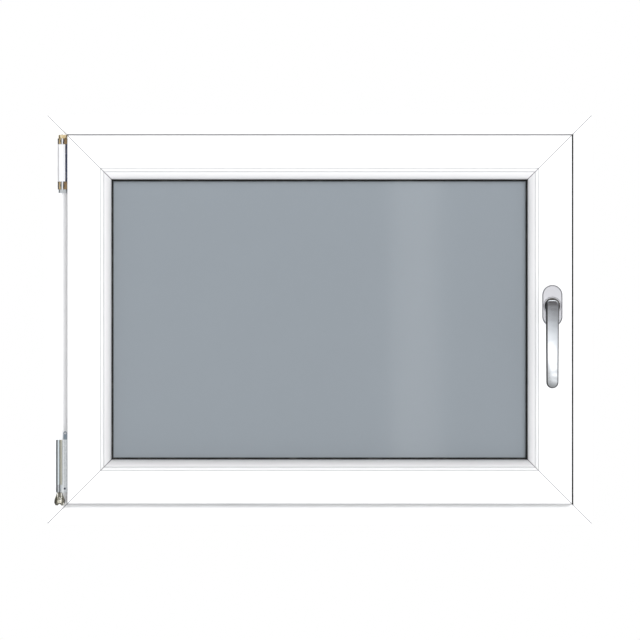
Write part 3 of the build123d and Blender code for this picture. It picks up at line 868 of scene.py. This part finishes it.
@dataclass
class Handle:
    """Rosette, lever and spindle."""

    finishes: Finishes
    rounding: float = 0.5 * MM

    def build(self) -> None:
        """Dress the handle."""
        dress_node("handle_rosette", self.finishes.satin)
        dress_node("handle_lever", self.finishes.lever, self.rounding)
        dress_node("handle_spindle", self.finishes.zinc)


@dataclass
class TopHinge:
    """Channel, foot, arm, pin and white cover of the upper hinge. Sizes are in millimetres."""

    finishes: Finishes
    rounding: float = 0.2 * MM
    screw_place: tuple = (-378.4, -37.4)
    screw_heights: tuple = (("upper", 562.3), ("lower", 497.2))
    screw_radius: float = 3.0
    screw_height: float = 0.8

    def build(self) -> None:
        """Dress the hinge."""
        dress_node("top_hinge_bearing", self.finishes.yellow_zinc, self.rounding)
        dress_node("top_hinge_foot", self.finishes.zinc)
        dress_node("top_hinge_arm", self.finishes.blue_steel)
        dress_node("top_hinge_pin", self.finishes.chrome)
        dress_node("top_hinge_cap", self.finishes.white_cap)
        for name, height in self.screw_heights:
            place = (*self.screw_place, height)
            size = (self.screw_radius, self.screw_height)
            screw = Fastener(f"top_hinge_screw_{name}", place, *size, Drive.CROSS)
            screw.build(self.finishes.dark_steel)


@dataclass
class BottomHinge:
    """Leaf, bearing and pin of the lower hinge. Sizes are in millimetres."""

    finishes: Finishes
    screw_place: tuple = (-374.7, -50.45, 51.25)
    screw_radius: float = 1.6
    screw_height: float = 0.4

    def build(self) -> None:
        """Dress the hinge."""
        dress_node("bottom_hinge_leaf", self.finishes.leaf)
        dress_node("bottom_hinge_bearing", self.finishes.bud)
        size = (self.screw_radius, self.screw_height)
        screw = Fastener("leaf_adjusting_screw", self.screw_place, *size, Drive.HEX)
        screw.build(self.finishes.dark_steel)
        dress_node("bottom_hinge_pin", self.finishes.zinc)


@dataclass
class Softbox:
    """Area light that faces the window and that the camera doesn't see."""

    name: str
    place: tuple
    size: tuple
    power: float

    def build(self) -> bpy.types.Object:
        """Make the light and aim it straight at the window.

        Returns:
            The light's object.
        """
        light = bpy.data.lights.new(self.name, "AREA")
        light.shape = "RECTANGLE"
        light.size, light.size_y = self.size
        light.energy = self.power
        lamp = bpy.data.objects.new(self.name, light)
        lamp.location = self.place
        lamp.rotation_euler = Vector((0.0, 1.0, 0.0)).to_track_quat("-Z", "Y").to_euler()
        lamp.visible_camera = False
        bpy.context.scene.collection.objects.link(lamp)
        return lamp


@dataclass
class Studio:
    """Pale floor, white background, soft lights and the camera."""

    centre: Vector
    no_shadow: tuple = ("handle_", "top_hinge_", "bottom_hinge_")
    floor_size: float = 12.0
    camera_distance: float = 2.5
    key_strength: float = 1.95
    key_spread: float = 15.0
    key_side: float = 20.0
    fill_strength: float = 0.75
    fill_spread: float = 40.0
    bead_share: float = 0.79
    overhead_strength: float = 2.2
    overhead_spread: float = 60.0
    outdoor_strength: float = 0.95
    outdoor_spread: float = 20.0
    sky_strength: float = 1.15
    shift_right: float = 0.45
    shift_down: float = 0.55

    def floor(self) -> None:
        """Pale floor under the sill."""
        mesh = bpy.data.meshes.new("studio_floor")
        grid = bmesh.new()
        bmesh.ops.create_grid(grid, x_segments=1, y_segments=1, size=self.floor_size / 2)
        grid.to_mesh(mesh)
        grid.free()
        floor = bpy.data.objects.new("studio_floor", mesh)
        bpy.context.scene.collection.objects.link(floor)
        tree = FinishTree("pale_floor")
        cloud = tree.noise((3.0, 3.0, 3.0))
        paleness = tree.mix(cloud, (0.80, 0.80, 0.80), (0.83, 0.83, 0.83))
        mesh.materials.append(tree.dress(Base_Color=paleness, Roughness=0.8))
        floor.visible_glossy = False

    def world(self) -> None:
        """White background for the camera, and a soft sky that is darker overhead for light."""
        world = bpy.data.worlds.new("studio")
        bpy.context.scene.world = world
        tree = NodeTree(world)
        direction = tree.node("ShaderNodeTexCoord", {}, {}, "Generated")
        sideways = tree.node("ShaderNodeSeparateXYZ", {}, {0: direction}, "X")
        height = tree.node("ShaderNodeSeparateXYZ", {}, {0: direction}, "Z")
        stops = [
            (0.0, (0.2, 0.2, 0.2)),
            (0.4, (0.3, 0.3, 0.3)),
            (0.49, (1.0, 1.0, 1.0)),
            (0.57, (1.0, 1.0, 1.0)),
            (0.7, (0.68, 0.7, 0.72)),
            (0.8, (0.36, 0.36, 0.37)),
            (0.92, (0.07, 0.06, 0.06)),
        ]
        level = tree.ramp(height * 0.5 + 0.5, stops)
        right = sideways.between(0.55, 0.95) * 0.7
        left = (0.0 - sideways).between(0.5, 0.9) * 0.88
        strength = (1.0 - (right + left)) * self.sky_strength
        sky = tree.node("ShaderNodeBackground", {}, {"Color": level, "Strength": strength})
        white = tree.node("ShaderNodeBackground", {}, {"Color": (1.0, 1.0, 1.0)})
        seen = tree.node("ShaderNodeLightPath", {}, {}, "Is Camera Ray")
        mixed = tree.node("ShaderNodeMixShader", {}, {0: seen, 1: sky, 2: white})
        tree.node("ShaderNodeOutputWorld", {}, {"Surface": mixed}, None)
        bpy.context.scene.view_settings.view_transform = "Standard"

    def lights(self) -> None:
        """Key from the upper right of the room, fills, and narrow cards for glass and handle."""
        tangent = math.tan(math.radians(self.key_side))
        towards_window = Vector((0.0, 1.0, 0.0))
        key = self.distant(
            "room_key", Vector((-tangent, 1.0, -tangent)), self.key_strength, self.key_spread
        )
        fill = self.distant("front_fill", towards_window, self.fill_strength, self.fill_spread)
        blockers = self.group("shadow_makers", lambda node: not node.startswith(self.no_shadow))
        key.light_linking.blocker_collection = blockers
        fill.light_linking.blocker_collection = blockers
        overhead = self.distant(
            "overhead", Vector((0.0, 0.0, -1.0)), self.overhead_strength, self.overhead_spread
        )
        floor_lit = self.group("floor_lit", lambda node: False)
        floor_lit.objects.link(bpy.data.objects["studio_floor"])
        overhead.light_linking.receiver_collection = floor_lit
        self.distant(
            "outdoor_fill", Vector((0.3, -1.0, -0.55)), self.outdoor_strength, self.outdoor_spread
        )
        key_lit = self.group("key_lit", lambda node: "bead" not in node)
        key.light_linking.receiver_collection = key_lit
        bead_strength = self.key_strength * self.bead_share
        bead_fill = self.distant("bead_fill", towards_window, bead_strength, self.fill_spread)
        bead_lit = self.group("bead_lit", lambda node: "bead" in node)
        bead_fill.light_linking.receiver_collection = bead_lit
        handle_card = Softbox("handle_card", (0.342, -1.1, 0.225), (0.3, 0.09), 0.6).build()
        handle_lit = self.group("handle_lit", lambda node: node.startswith("handle_"))
        handle_card.light_linking.receiver_collection = handle_lit
        glass_card = Softbox("glass_card", (0.142, -3.4, 0.3), (0.07, 1.4), 0.36).build()
        pane_lit = self.group("pane_lit", lambda node: node.endswith("_pane"))
        glass_card.light_linking.receiver_collection = pane_lit

    @staticmethod
    def group(name: str, chosen: Callable[[str], bool]) -> bpy.types.Collection:
        """Collection of CAD nodes for a light.

        Args:
            name: name of the collection.
            chosen: tells from a node's name whether it belongs.

        Returns:
            The collection.
        """
        collection = bpy.data.collections.new(name)
        for node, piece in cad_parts.items():
            if chosen(node):
                collection.objects.link(piece)
        return collection

    def distant(
        self, name: str, heading: Vector, strength: float, spread: float
    ) -> bpy.types.Object:
        """Large, far softbox that lights surfaces without a mirror image of itself.

        Args:
            name: name of the light.
            heading: direction in which the light travels.
            strength: power for each square metre.
            spread: its angular width in degrees.

        Returns:
            The light's object.
        """
        light = bpy.data.lights.new(name, "SUN")
        light.energy = strength
        light.angle = math.radians(spread)
        lamp = bpy.data.objects.new(name, light)
        lamp.rotation_euler = heading.to_track_quat("-Z", "Y").to_euler()
        lamp.visible_glossy = False
        bpy.context.scene.collection.objects.link(lamp)
        return lamp

    def camera(self) -> None:
        """Straight-on camera from the room, with no perspective."""
        data = bpy.data.cameras.new("camera")
        data.type = "ORTHO"
        data.ortho_scale = PHOTO_PIXELS * PIXEL
        camera = bpy.data.objects.new("camera", data)
        x = self.centre.x + self.shift_right * PIXEL
        z = self.centre.z - self.shift_down * PIXEL
        camera.location = (x, self.centre.y - self.camera_distance, z)
        camera.rotation_euler = (math.radians(90), 0.0, 0.0)
        bpy.context.scene.collection.objects.link(camera)
        bpy.context.scene.camera = camera

    def build(self) -> None:
        """Set up the whole studio."""
        self.floor()
        self.world()
        self.lights()
        self.camera()


def main() -> None:
    """Build every sub-assembly in order, then the studio."""
    logging.basicConfig(level=logging.INFO, format="%(message)s")
    finishes = Finishes()
    for assembly in (
        OuterFrame(finishes),
        Sash(finishes),
        GlazingUnit(finishes),
        Handle(finishes),
        TopHinge(finishes),
        BottomHinge(finishes),
    ):
        assembly.build()
        log.info("%s is done", type(assembly).__name__)
    Studio((CAD_BOX[0] + CAD_BOX[1]) / 2).build()


if __name__ == "__main__":
    main()
